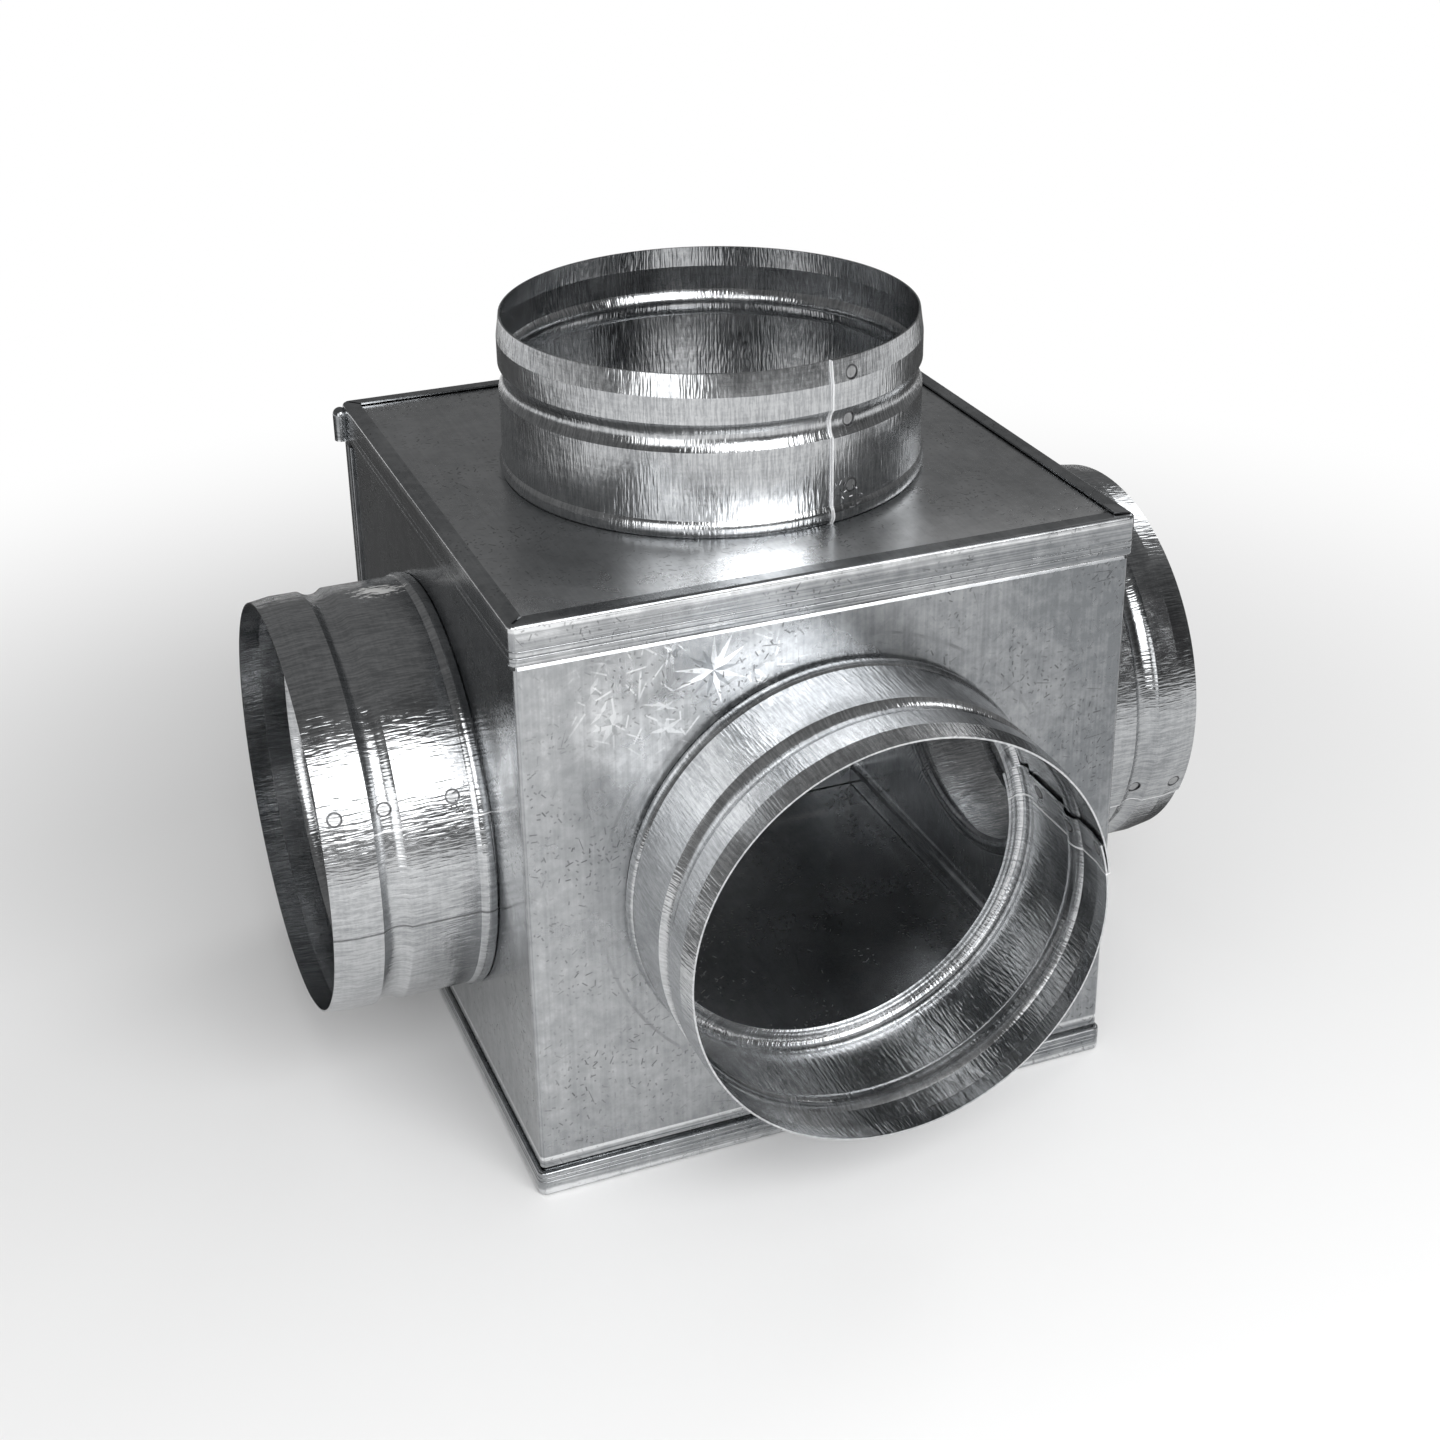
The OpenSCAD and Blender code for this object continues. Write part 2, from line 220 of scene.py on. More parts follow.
    def strokes(self, u: Value, v: Value, scale: float, size: Pair, seed: float,
                share: float) -> Socket:
        """Scatter short straight strokes, each in a direction of its own.

        Args:
            u: Distance along the sheet.
            v: Distance across the sheet.
            scale: Cells per metre.
            size: The longest stroke's length and width in metres.
            seed: Shifts the strokes.
            share: How many of the cells have one.

        Returns:
            1 in a stroke, 0 beside it.
        """
        near_u, near_v, (turn, keep, long) = self.scatter(u, v, scale, seed)
        along, across = self.turned(near_u, near_v, self.times(turn, math.pi))
        half = self.spread(long, 0.0, 1.0, size[0] * 0.2, size[0] * 0.5, smooth=False)
        reach = self.over(self.size(along), half)
        width = self.over(self.size(across), size[1] * 0.5)
        body = self.spread(self.most(reach, width), 0.55, 1.0, 1.0, 0.0)
        return self.times(body, self.spread(keep, 1.0 - share, 1.02 - share))

    def spread(self, value: Value, low: float, high: float,
               to_low: float = 0.0, to_high: float = 1.0, smooth: bool = True) -> Socket:
        """Carry a value from one range into another, held at its ends.

        Args:
            value: The value.
            low: Value that gives to_low.
            high: Value that gives to_high.
            to_low: Result at low.
            to_high: Result at high.
            smooth: Ease in and out of the ends.

        Returns:
            The new value.
        """
        node = self.tree.nodes.new("ShaderNodeMapRange")
        node.interpolation_type = "SMOOTHSTEP" if smooth else "LINEAR"
        self.feed(node.inputs["Value"], value)
        node.inputs["From Min"].default_value = low
        node.inputs["From Max"].default_value = high
        node.inputs["To Min"].default_value = to_low
        node.inputs["To Max"].default_value = to_high
        return node.outputs["Result"]

    def blend(self, factor: Value, first: Union[Socket, Colour],
              second: Union[Socket, Colour]) -> Socket:
        """Mix two colours.

        Args:
            factor: 0 for the first, 1 for the second.
            first: First colour.
            second: Second colour.

        Returns:
            The mixed colour.
        """
        node = self.tree.nodes.new("ShaderNodeMix")
        node.data_type = "RGBA"
        self.feed(node.inputs["Factor"], factor)
        for key, value in ((6, first), (7, second)):
            self.feed(node.inputs[key], value if isinstance(value, bpy.types.NodeSocket)
                      else (*value, 1.0))
        return node.outputs[2]

    def fade(self, factor: Value, first: Value, second: Value) -> Socket:
        """Mix two numbers: 0 gives the first, 1 the second."""
        node = self.tree.nodes.new("ShaderNodeMix")
        for index, value in ((0, factor), (2, first), (3, second)):
            self.feed(node.inputs[index], value)
        return node.outputs[0]

    def spot(self, first: Value, second: Value, middle: Pair, size: Pair) -> Socket:
        """Draw a soft oval.

        Args:
            first: Distance along its first axis.
            second: Distance along its second axis.
            middle: Its middle.
            size: Its two half lengths.

        Returns:
            1 in the middle, 0 outside it.
        """
        parts = [self.over(self.less(value, start), half)
                 for value, start, half in zip((first, second), middle, size)]
        return self.spread(self.length(*parts), 0.45, 1.0, 1.0, 0.0)

    def bump(self, height: Socket, depth: float, below: Optional[Socket] = None) -> Socket:
        """Turn a height from 0 to 1 into a normal.

        Args:
            height: The height.
            depth: Metres from a height of 0 to a height of 1.
            below: A normal that this one is laid over.

        Returns:
            The normal.
        """
        node = self.tree.nodes.new("ShaderNodeBump")
        node.inputs["Strength"].default_value = 1.0
        node.inputs["Distance"].default_value = depth
        self.feed(node.inputs["Height"], height)
        if below is not None:
            self.feed(node.inputs["Normal"], below)
        return node.outputs["Normal"]


@dataclass(frozen=True)
class ZincFinish:
    """Hot-dip zinc coat on thin rolled steel.

    Roughness is given for the darkest and for the palest clouds, and depths are in metres.
    """

    name: str
    light: Colour = (0.60, 0.61, 0.62)
    dark: Colour = (0.34, 0.35, 0.36)
    burnt: Colour = (0.06, 0.06, 0.063)
    # Pale colour of bright zinc crystals, weld flecks and scrapes, also used for painted
    # highlights
    pale_zinc_and_highlight: Colour = (0.86, 0.87, 0.88)
    roughness: Pair = (0.22, 0.38)
    wave_depth: float = 0.00030
    grain_depth: float = 0.000012


class SheetPlace:
    """Where a point lies on the folded casing, read once for a whole finish.

    The place is x, y and z in the frame, u and v along and across the sheet, and edge, the
    distance over or under the casing's middle. The masks are 1 on sheet that faces left or
    right (sideways), on the panels (upwards), on the left wall (leftwards), on the front wall
    (forwards), on the lock bands (band), and on flat sheet but for the bands' rear (marked).
    """

    # Parts of a normal along an axis for a face turned to it, square on it or square against it
    TURNED = (0.5, 0.51)
    SQUARE = (0.90, 0.97)
    AGAINST = (-0.95, -0.9)
    # How far back the bands' rear starts, and how far the edge of a band is eased
    REAR = (104.0 * MM, 106.0 * MM)
    EASED = 0.3 * MM

    def __init__(self, graph: NodeGraph, band: float) -> None:
        """Read the point and work out which sheet it is on.

        Args:
            graph: The material's nodes.
            band: Height over the casing's middle where its lock bands start.
        """
        self.point = graph.coordinates()
        self.x, self.y, self.z = graph.split(self.point)
        facing = graph.split(graph.coordinates("Normal"))
        steep = [graph.size(part) for part in facing]
        self.sideways = graph.spread(steep[0], *self.TURNED)
        self.upwards = graph.spread(steep[2], *self.TURNED)
        self.leftwards = graph.spread(facing[0], *self.AGAINST, 1.0, 0.0)
        self.forwards = graph.spread(facing[1], *self.AGAINST, 1.0, 0.0)
        self.u = graph.fade(self.sideways, self.x, self.y)
        self.v = graph.fade(self.upwards, self.z, self.y)
        self.edge = graph.size(graph.less(self.z, MIDDLE))
        self.band = graph.times(graph.spread(self.edge, band, band + self.EASED),
                                graph.less(1.0, self.upwards))
        steepest = graph.most(steep[0], graph.most(steep[1], steep[2]))
        flat = graph.spread(steepest, *self.SQUARE)
        rear = graph.times(graph.spread(self.y, *self.REAR), self.band)
        self.marked = graph.less(flat, graph.times(rear, flat))


@dataclass(frozen=True)
class CasingFinish(ZincFinish):
    """The zinc coat on the flat walls and panels of the casing.

    An oval is given by its middle and its two half lengths, and a painted fold line of a lock band
    by its height over the casing's middle, its half width and its gain in brightness: a positive
    gain paints a highlight along a fold and a negative one paints shade. Rolling streaks have one
    gain on the walls and one on the bands. The painted reflection gain brightens a panel's front
    strip, a painted reflection of the top spigot, and the painted inner light gain brightens what
    lies inside inner_face and inner_end, painted light inside the box. The flower is the one large
    zinc crystal. The front and left walls each carry a painted highlight oval with its gain, and
    the painted fall of light across the front wall is given by its two ends and its gain at each.
    """

    light: Colour = (0.47, 0.48, 0.49)
    dark: Colour = (0.20, 0.21, 0.22)
    cloud_gain: float = 0.40
    mottle_gain: float = 0.36
    rolling_gain: Pair = (0.15, 0.60)
    scratch_share: float = 0.6
    side_roughness: float = 0.65
    # Painted reflection of the top spigot on a panel's front strip
    painted_reflection_gain: float = 0.0
    painted_reflection_strip: Pair = (-66.0 * MM, -30.0 * MM)
    # Painted light: brightens the sheet's inner faces, inside the box
    painted_inner_light_gain: float = 0.3
    inner_face: Pair = (HALF_SIDE - 0.35 * MM, HALF_SIDE - 0.2 * MM)
    inner_end: Pair = (88.9 * MM, 89.05 * MM)
    flowers: bool = False
    flower: Pair = (-35.5 * MM, 156.5 * MM)
    flower_radius: float = 13.5 * MM
    flower_bed: Oval = ((-43.0 * MM, 153.0 * MM), (42.0 * MM, 22.0 * MM))
    crystal_radius: Pair = (4.0 * MM, 8.5 * MM)
    # Painted highlight: a lighter oval on the front wall, above and left of its spigot, standing
    # in for a lamp's reflection
    front_painted_highlight: Oval = ((-56.0 * MM, 146.0 * MM), (22.0 * MM, 26.0 * MM))
    front_painted_highlight_gain: float = 0.5
    # Painted highlight: a lighter oval on the left wall in front of its spigot, standing in for
    # the reflection of that spigot and a lamp
    left_painted_highlight: Oval = ((-55.0 * MM, 108.0 * MM), (17.0 * MM, 42.0 * MM))
    left_painted_highlight_gain: float = 1.3
    # Painted fall of light: the front wall is painted lighter on its left and darker on its right
    painted_light_fall_reach: Pair = (-70.0 * MM, 85.0 * MM)
    painted_light_fall_gain: Pair = (0.32, -0.30)
    ring_radius: float = 69.5 * MM
    band: float = 77.0 * MM
    # Painted fold lines: positive gains paint highlights along the lock band's folds, negative
    # gains paint shade
    painted_fold_lines: Tuple[Tuple[float, float, float], ...] = (
        (77.9 * MM, 0.9 * MM, 0.9), (79.5 * MM, 0.35 * MM, -0.6), (80.9 * MM, 0.3 * MM, -0.5),
        (84.0 * MM, 3.0 * MM, -0.25), (88.6 * MM, 1.3 * MM, 0.7))

    def scratches(self, graph: NodeGraph, u: Socket, v: Socket) -> Socket:
        """Draw fine scratches of three lengths, with more of them in some places than in others.

        Args:
            graph: The material's nodes.
            u: Distance along the sheet.
            v: Distance across the sheet.

        Returns:
            1 in a scratch, 0 beside it.
        """
        bent = graph.times(graph.noise(graph.join(u, v), scale=60.0, detail=1.0), 2.2 * MM)
        long = graph.strokes(graph.add(u, bent), v, scale=60.0, size=(12.0 * MM, 0.32 * MM),
                             seed=0.3, share=0.4)
        short = graph.strokes(u, graph.add(v, bent), scale=230.0, size=(3.2 * MM, 0.5 * MM),
                              seed=1.1, share=0.6)
        dots = graph.strokes(u, v, scale=480.0, size=(1.6 * MM, 0.6 * MM), seed=2.7, share=0.55)
        marks = graph.most(graph.times(long, 0.8), short)
        marks = graph.most(marks, graph.times(dots, 0.7))
        patches = graph.noise(graph.join(u, v, 4.0), scale=42.0, detail=3.0)
        return graph.times(marks, graph.spread(patches, 0.40, 0.64, 0.12, 1.0))

    def star(self, graph: NodeGraph, near_u: Socket, near_v: Socket, turn: Value, radius: Value,
             leaves: int) -> Socket:
        """Draw one zinc crystal: straight pointed leaves that run out from its middle.

        With r the distance from the middle and o the angle from the nearest leaf's axis, a point
        lies in the leaf where r times o is less than a share of the width that is left there.

        Args:
            graph: The material's nodes.
            near_u: Distance from the middle along the sheet.
            near_v: Distance from the middle across the sheet.
            turn: The crystal's own number, which turns it and shades its leaves.
            radius: How far its longest leaves reach.
            leaves: How many leaves it has.

        Returns:
            From -0.5 for a dark leaf to 0.75 for a bright one, 0 beside them.
        """
        step = 2.0 * math.pi / leaves
        angle = graph.add(graph.math("ARCTAN2", near_v, near_u), turn)
        index = graph.math("ROUND", graph.over(angle, step))
        off = graph.size(graph.less(angle, graph.times(index, step)))
        reach = graph.length(near_u, near_v)
        fate = graph.noise(graph.join(graph.times(index, 1.37), turn), scale=3.1, detail=0.0)
        longest = graph.times(radius, graph.spread(fate, *MOST_GREYS, 0.55, 1.0))
        left = graph.less(1.0, graph.over(reach, longest))
        width = graph.times(graph.times(left, radius), 1.35 / leaves)
        body = graph.spread(graph.less(width, graph.times(reach, off)), 0.0, 0.25 * MM)
        return graph.times(body, graph.spread(fate, 0.42, 0.58, -0.5, 0.75))

    def frost(self, graph: NodeGraph, u: Socket, v: Socket) -> Socket:
        """Draw a field of small zinc crystals with one large one and loose needles among them.

        Args:
            graph: The material's nodes.
            u: Distance along the sheet.
            v: Distance across the sheet.

        Returns:
            About -0.5 to 1, with 0 as the plain coat.
        """
        near_u, near_v, (turn, growth, _) = graph.scatter(u, v, scale=88.0, seed=0.0)
        radius = graph.spread(growth, 0.0, 1.0, *self.crystal_radius, smooth=False)
        field = self.star(graph, near_u, near_v, graph.times(turn, 6.0), radius, leaves=7)
        off_u, off_v = graph.less(u, self.flower[0]), graph.less(v, self.flower[1])
        large = self.star(graph, off_u, off_v, 0.4, self.flower_radius, leaves=13)
        needles = graph.most(
            graph.strokes(u, v, scale=125.0, size=(11.0 * MM, 0.7 * MM), seed=1.9, share=0.7),
            graph.strokes(u, v, scale=210.0, size=(7.0 * MM, 0.6 * MM), seed=3.1, share=0.7))
        beside = graph.spread(graph.length(off_u, off_v), 9.0 * MM, 13.0 * MM)
        loose = graph.times(beside, graph.add(graph.times(field, 0.6), graph.times(needles, 0.6)))
        return graph.add(loose, large)

    def rolling(self, graph: NodeGraph, at: SheetPlace) -> Socket:
        """Draw the streaks that the rollers left: level on the bands, upright on the walls.

        Args:
            graph: The material's nodes.
            at: The place on the casing.

        Returns:
            Their grey value, which is 0.5 where the sheet isn't marked.
        """
        level = graph.noise(graph.join(graph.times(at.u, 0.012), at.v, at.sideways),
                            scale=1500.0, detail=2.0)
        upright = graph.noise(graph.join(at.u, graph.times(at.v, 0.02), at.sideways),
                              scale=900.0, detail=2.0)
        return graph.fade(at.marked, 0.5, graph.fade(at.band, upright, level))

    def plain_tone(self, graph: NodeGraph, at: SheetPlace, clouds: Socket, mottle: Socket,
                   rolling: Socket) -> Socket:
        """Shade the coat that every sheet has, with the painted fold lines on the bands, painted
        light inside the box and, on a panel, a painted reflection on its front strip.

        Args:
            graph: The material's nodes.
            at: The place on the casing.
            clouds: Broad mottling.
            mottle: Fine mottling.
            rolling: Rolling streaks.

        Returns:
            0 for the dark coat, 1 for the light one and more where painted light lifts it.
        """
        tone = graph.add(graph.spread(clouds, *MOST_GREYS, 0.0, self.cloud_gain),
                         graph.spread(mottle, *MOST_GREYS, 0.0, self.mottle_gain))
        tone = graph.add(tone, graph.times(graph.spread(rolling, *MID_GREYS),
                                           graph.fade(at.band, *self.rolling_gain)))
        # Painted highlights and painted shade along the lock band's folds
        for height, width, gain in self.painted_fold_lines:
            off = graph.size(graph.less(at.edge, height))
            fold_line = graph.spread(off, width * 0.3, width, gain, 0.0)
            tone = graph.add(tone, graph.times(fold_line, at.band))
        # Painted light inside the box: the sheet's inner faces are painted brighter
        depth = graph.most(graph.size(at.x), graph.size(graph.less(at.y, BACK)))
        inside = graph.times(graph.spread(depth, *self.inner_face, 1.0, 0.0),
                             graph.spread(at.edge, *self.inner_end, 1.0, 0.0))
        tone = graph.add(tone, graph.times(inside, self.painted_inner_light_gain))
        # Painted reflection: the panel's front strip is painted lighter where it would mirror the
        # top spigot
        if self.painted_reflection_gain:
            reflection_strip = graph.spread(at.y, *self.painted_reflection_strip, self.painted_reflection_gain, 0.0)
            tone = graph.add(tone, graph.times(at.upwards, reflection_strip))
        return tone

    def painted_wall_light(self, graph: NodeGraph, at: SheetPlace) -> Socket:
        """Paint light onto the front and left walls: a painted highlight on each and a painted
        fall of light across the front wall.

        Args:
            graph: The material's nodes.
            at: The place on the casing.

        Returns:
            What comes on top of the plain tone.
        """
        # Painted highlight ovals on the front and left walls, and the painted fall of light across
        # the front wall
        front = graph.times(graph.spot(at.x, at.z, *self.front_painted_highlight), self.front_painted_highlight_gain)
        fall = graph.spread(at.x, *self.painted_light_fall_reach, *self.painted_light_fall_gain, smooth=False)
        front = graph.add(front, fall)
        left = graph.times(graph.spot(at.y, at.z, *self.left_painted_highlight), self.left_painted_highlight_gain)
        return graph.add(graph.times(at.forwards, front), graph.times(at.leftwards, left))

    def make(self) -> bpy.types.Material:
        """Return the material: mottled zinc, crystals, rolling streaks, scratches and painted
        light.
        """
        graph = NodeGraph(self.name)
        at = SheetPlace(graph, self.band)
        clouds = graph.noise(at.point, scale=18.0, detail=4.0, roughness=0.6, distortion=0.4)
        mottle = graph.noise(at.point, scale=210.0, detail=4.0, roughness=0.65)
        rolling = self.rolling(graph, at)
        marks = graph.times(self.scratches(graph, at.u, at.v), at.marked)
        tone = self.plain_tone(graph, at, clouds, mottle, rolling)
        relief = graph.fade(at.marked, 0.5, graph.less(mottle, graph.times(marks, 0.8)))
        if self.flowers:
            bed = graph.times(graph.spot(at.x, at.z, *self.flower_bed), at.forwards)
            crystal = graph.times(self.frost(graph, at.u, at.v), graph.fade(bed, 0.06, 1.0))
            ring = graph.times(at.forwards, self.pressed_ring(graph, at.x, at.z, mottle))
            # Crystals, plus the painted highlights and painted fall of light on the walls
            tone = graph.add(tone, graph.add(crystal, self.painted_wall_light(graph, at)))
            relief = graph.add(relief, graph.times(crystal, 0.35))
            relief = graph.less(relief, graph.times(ring, 1.5))
            marks = graph.most(marks, ring)
        coat = graph.blend(tone, self.dark, self.light)
        # Where the tone passes 1 the coat turns pale: pale crystals and painted highlights
        coat = graph.blend(graph.spread(tone, 1.0, 1.7, smooth=False), coat, self.pale_zinc_and_highlight)
        coat = graph.blend(graph.times(marks, self.scratch_share), coat, self.burnt)
        rough = graph.times(graph.spread(clouds, *MOST_GREYS, *self.roughness),
                            graph.fade(at.sideways, 1.0, self.side_roughness))
        graph.feed(graph.shader.inputs["Base Color"], coat)
        graph.feed(graph.shader.inputs["Metallic"], 1.0)
        graph.feed(graph.shader.inputs["Roughness"], graph.add(rough, graph.times(marks, 0.15)))
        waves = graph.noise(at.point, scale=24.0, detail=2.0, roughness=0.4)
        below = graph.bump(waves, self.wave_depth)
        below = graph.bump(rolling, self.grain_depth, below)
        below = graph.bump(relief, self.grain_depth * 2.5, below)
        graph.feed(graph.shader.inputs["Normal"], below)
        return graph.material

    def pressed_ring(self, graph: NodeGraph, x: Socket, z: Socket, mottle: Socket) -> Socket:
        """Draw the faint ring that the bench tool pressed into the wall round its spigot.

        Args:
            graph: The material's nodes.
            x: Distance to the right.
            z: Height.
            mottle: The coat's mottling, which breaks the line up.

        Returns:
            1 on the ring, 0 off it.
        """
        reach = graph.length(x, graph.less(z, MIDDLE))
        off = graph.size(graph.less(reach, self.ring_radius))
        line = graph.spread(off, 0.2 * MM, 0.7 * MM, 0.55, 0.0)
        gaps = graph.noise(graph.join(x, z), scale=34.0, detail=1.0)
        line = graph.times(line, graph.spread(gaps, 0.4, 0.6))
        return graph.times(line, graph.spread(mottle, 0.36, 0.56))


class TubePlace:
    """Where a point lies on a spigot's tube, read once for a whole finish.

    First and second are the distances from the tube's axis as the part drawing has them, and
    axial is the one from the wall. Ring_x and ring_y are the first two at the tube's radius.
    """

    def __init__(self, graph: NodeGraph, side: Side, radius: float) -> None:
        """Read the point as the spigot's own part drawing has it.

        Args:
            graph: The material's nodes.
            side: The face that carries the spigot.
            radius: The tube's radius.
        """
        self.graph = graph
        self.radius = radius
        self.point = graph.coordinates()
        x, y, z = graph.split(self.point)
        back, up, down = graph.less(y, BACK), graph.less(z, MIDDLE), graph.less(MIDDLE, z)
        self.first, self.second, self.axial = {
            Side.TOP: (x, back, graph.less(z, PANEL_TOP)),
            Side.LEFT: (up, back, graph.less(-HALF_SIDE, x)),
            Side.FRONT: (x, up, graph.less(BACK - HALF_SIDE, y)),
            Side.RIGHT: (down, back, graph.less(x, HALF_SIDE)),
        }[side]
        reach = graph.length(self.first, self.second)
        self.ring_x = graph.times(graph.over(self.first, reach), radius)
        self.ring_y = graph.times(graph.over(self.second, reach), radius)

    def around(self, middle: float) -> Socket:
        """Return the distance round the tube from an angle in radians, negative on one side."""
        along, across = self.graph.turned(self.first, self.second, middle)
        return self.graph.times(self.graph.math("ARCTAN2", across, along), self.radius)

    def drawn(self, share: float, scale: float, detail: float = 2.0) -> Socket:
        """Add a noise that is drawn out along the tube.

        Args:
            share: How much of a step along the tube counts: 0.1 draws it out ten times.
            scale: Patches per metre round the tube.
            detail: Octaves.

        Returns:
            Its grey value.
        """
        place = self.graph.join(self.ring_x, self.ring_y, self.graph.times(self.axial, share))
        return self.graph.noise(place, scale, detail)

    def rings(self) -> Socket:
        """Return a noise that is drawn out round the tube."""
        place = self.graph.join(self.graph.times(self.ring_x, 0.03),
                                self.graph.times(self.ring_y, 0.03), self.axial)
        return self.graph.noise(place, scale=1100.0, detail=2.0)


@dataclass(frozen=True)
class SpigotFinish(ZincFinish):
    """The zinc coat on a rolled tube, rippled along its axis by the rollers.

    A scrape is given by its angle in degrees and its height over the wall, and its size by two
    half lengths. The fine line is given by its angle in degrees. Each gain is what a texture
    adds to the tone at its brightest, and a pair what it adds at its darkest and its brightest.
    """

    side: Side = Side.TOP
    seam: Seam = Seam(-79.0, 1)
    radius: float = 62.0 * MM
    ripple_depth: float = 0.00016
    roughness: Pair = (0.16, 0.26)
    cloud_gain: Pair = (0.05, 0.45)
    fine_gain: float = 0.3
    ring_gain: float = 0.15
    grit_gain: Pair = (-0.05, 0.15)
    ripple_gain: Pair = (-0.24, 0.24)
    weld_radius: float = 1.9 * MM
    weld_grey: Colour = (0.34, 0.34, 0.34)
    scrape: Optional[Pair] = None
    scrape_size: Pair = (6.0 * MM, 8.5 * MM)
    scrape_white: Colour = (0.86, 0.86, 0.85)
    line: Optional[float] = None

    def weld_marks(self, graph: NodeGraph, arc: Socket, axial: Socket) -> Triple:
        """Draw the burnt rims and the dull middles of the spot welds, and flecks by the lowest.

        Args:
            graph: The material's nodes.
            arc: Distance round the tube from the lap's middle.
            axial: Distance from the wall.

        Returns:
            What is burnt, what is dull and what is bright, each from 0 to 1.
        """
        first = self.seam.welds[0] * MM
        near = graph.spot(arc, axial, (-1.0 * MM, first - 1.5 * MM), (8.0 * MM, 6.0 * MM))
        dark = graph.strokes(arc, axial, scale=620.0, size=(2.0 * MM, 0.4 * MM),
                             seed=0.7, share=0.4)
        pale = graph.strokes(arc, axial, scale=430.0, size=(2.6 * MM, 0.32 * MM),
                             seed=2.1, share=0.5)
        rims, flecks = graph.times(near, dark), graph.times(near, pale)
        middles: Value = 0.0
        for height in self.seam.welds:
            reach = graph.length(arc, graph.less(axial, height * MM))
            off = graph.size(graph.less(reach, self.weld_radius))
            rims = graph.most(rims, graph.spread(off, 0.12 * MM, 0.5 * MM, 0.9, 0.0))
            disc = graph.spread(reach, self.weld_radius * 0.5, self.weld_radius, 1.0, 0.0)
            middles = graph.most(middles, disc)
        return rims, middles, flecks

    def tone(self, graph: NodeGraph, clouds: Socket, grit: Socket,
             textures: Triple) -> Socket:
        """Shade the tube's coat.

        Args:
            graph: The material's nodes.
            clouds: Broad mottling.
            grit: Fine mottling.
            textures: Fine lines along the tube, lines round it and its ripple.

        Returns:
            0 for the dark coat, 1 for the light one.
        """
        fine, rings, ripple = textures
        tone = graph.add(graph.spread(clouds, *MOST_GREYS, *self.cloud_gain),
                         graph.spread(fine, *MOST_GREYS, 0.0, self.fine_gain))
        tone = graph.add(tone, graph.spread(rings, *MID_GREYS, 0.0, self.ring_gain))
        tone = graph.add(tone, graph.spread(grit, *MID_GREYS, *self.grit_gain))
        return graph.add(tone, graph.spread(ripple, 0.38, 0.62, *self.ripple_gain))

    def make(self) -> bpy.types.Material:
        """Return the material: axial ripple, roller rings, weld marks, mottled zinc and a painted
        highlight along the lap seam's edge.
        """
        graph = NodeGraph(self.name)
        at = TubePlace(graph, self.side, self.radius)
        ripple = graph.add(graph.times(at.drawn(share=0.09, scale=1350.0, detail=0.0), 0.55),
                           graph.times(at.drawn(share=0.17, scale=2100.0, detail=0.0), 0.45))
        broad = at.drawn(share=0.35, scale=62.0)
        fine = at.drawn(share=0.05, scale=2600.0)
        rings = at.rings()
        clouds = graph.noise(at.point, scale=36.0, detail=3.0, roughness=0.6, distortion=0.5)
        grit = graph.noise(at.point, scale=1300.0, detail=2.0, roughness=0.6)
        rims, middles, pale_zinc_and_lap_highlight = self.weld_marks(graph, at.around(self.seam.middle()), at.axial)
        # Painted highlight: a thin pale line along the outer ply's edge of the lap seam, standing
        # in for light caught by that edge
        lap = graph.size(at.around(math.radians(self.seam.turn)))
        pale_zinc_and_lap_highlight = graph.most(pale_zinc_and_lap_highlight, graph.spread(lap, 0.15 * MM, 0.45 * MM, 0.9, 0.0))
        if self.line is not None:
            off = graph.size(at.around(math.radians(self.line)))
            rims = graph.most(rims, graph.spread(off, 0.15 * MM, 0.5 * MM, 0.7, 0.0))
        rims = graph.times(rims, graph.spread(grit, 0.3, 0.55, 0.7, 1.0))
        tone = self.tone(graph, clouds, grit, (fine, rings, ripple))
        coat = graph.blend(tone, self.dark, self.light)
        coat = graph.blend(graph.times(middles, 0.6), coat, self.weld_grey)
        # Pale zinc of weld flecks and the scrape, and the painted lap highlight
        coat = graph.blend(pale_zinc_and_lap_highlight, coat, self.pale_zinc_and_highlight)
        coat = graph.blend(rims, coat, self.burnt)
        rough = graph.spread(clouds, *MOST_GREYS, *self.roughness)
        rough = graph.add(graph.add(rough, graph.times(middles, 0.2)), graph.times(rims, 0.3))
        relief = graph.add(fine, graph.times(grit, 0.5))
        if self.scrape is not None:
            patch = self.scraped(graph, at)
            coat = graph.blend(patch, coat, self.scrape_white)
            pale_zinc_and_lap_highlight = graph.most(pale_zinc_and_lap_highlight, patch)
            rough = graph.add(rough, graph.times(patch, 0.3))
            relief = graph.add(relief, graph.times(patch, 3.0))
        graph.feed(graph.shader.inputs["Base Color"], coat)
        # Pale zinc and the painted lap highlight are less metallic
        graph.feed(graph.shader.inputs["Metallic"], graph.fade(pale_zinc_and_lap_highlight, 1.0, 0.25))
        graph.feed(graph.shader.inputs["Roughness"], rough)
        below = graph.bump(broad, self.ripple_depth * 2.0)
        below = graph.bump(ripple, self.ripple_depth, below)
        below = graph.bump(relief, self.grain_depth * 1.5, below)
        graph.feed(graph.shader.inputs["Normal"], graph.bump(rings, self.grain_depth, below))
        return graph.material

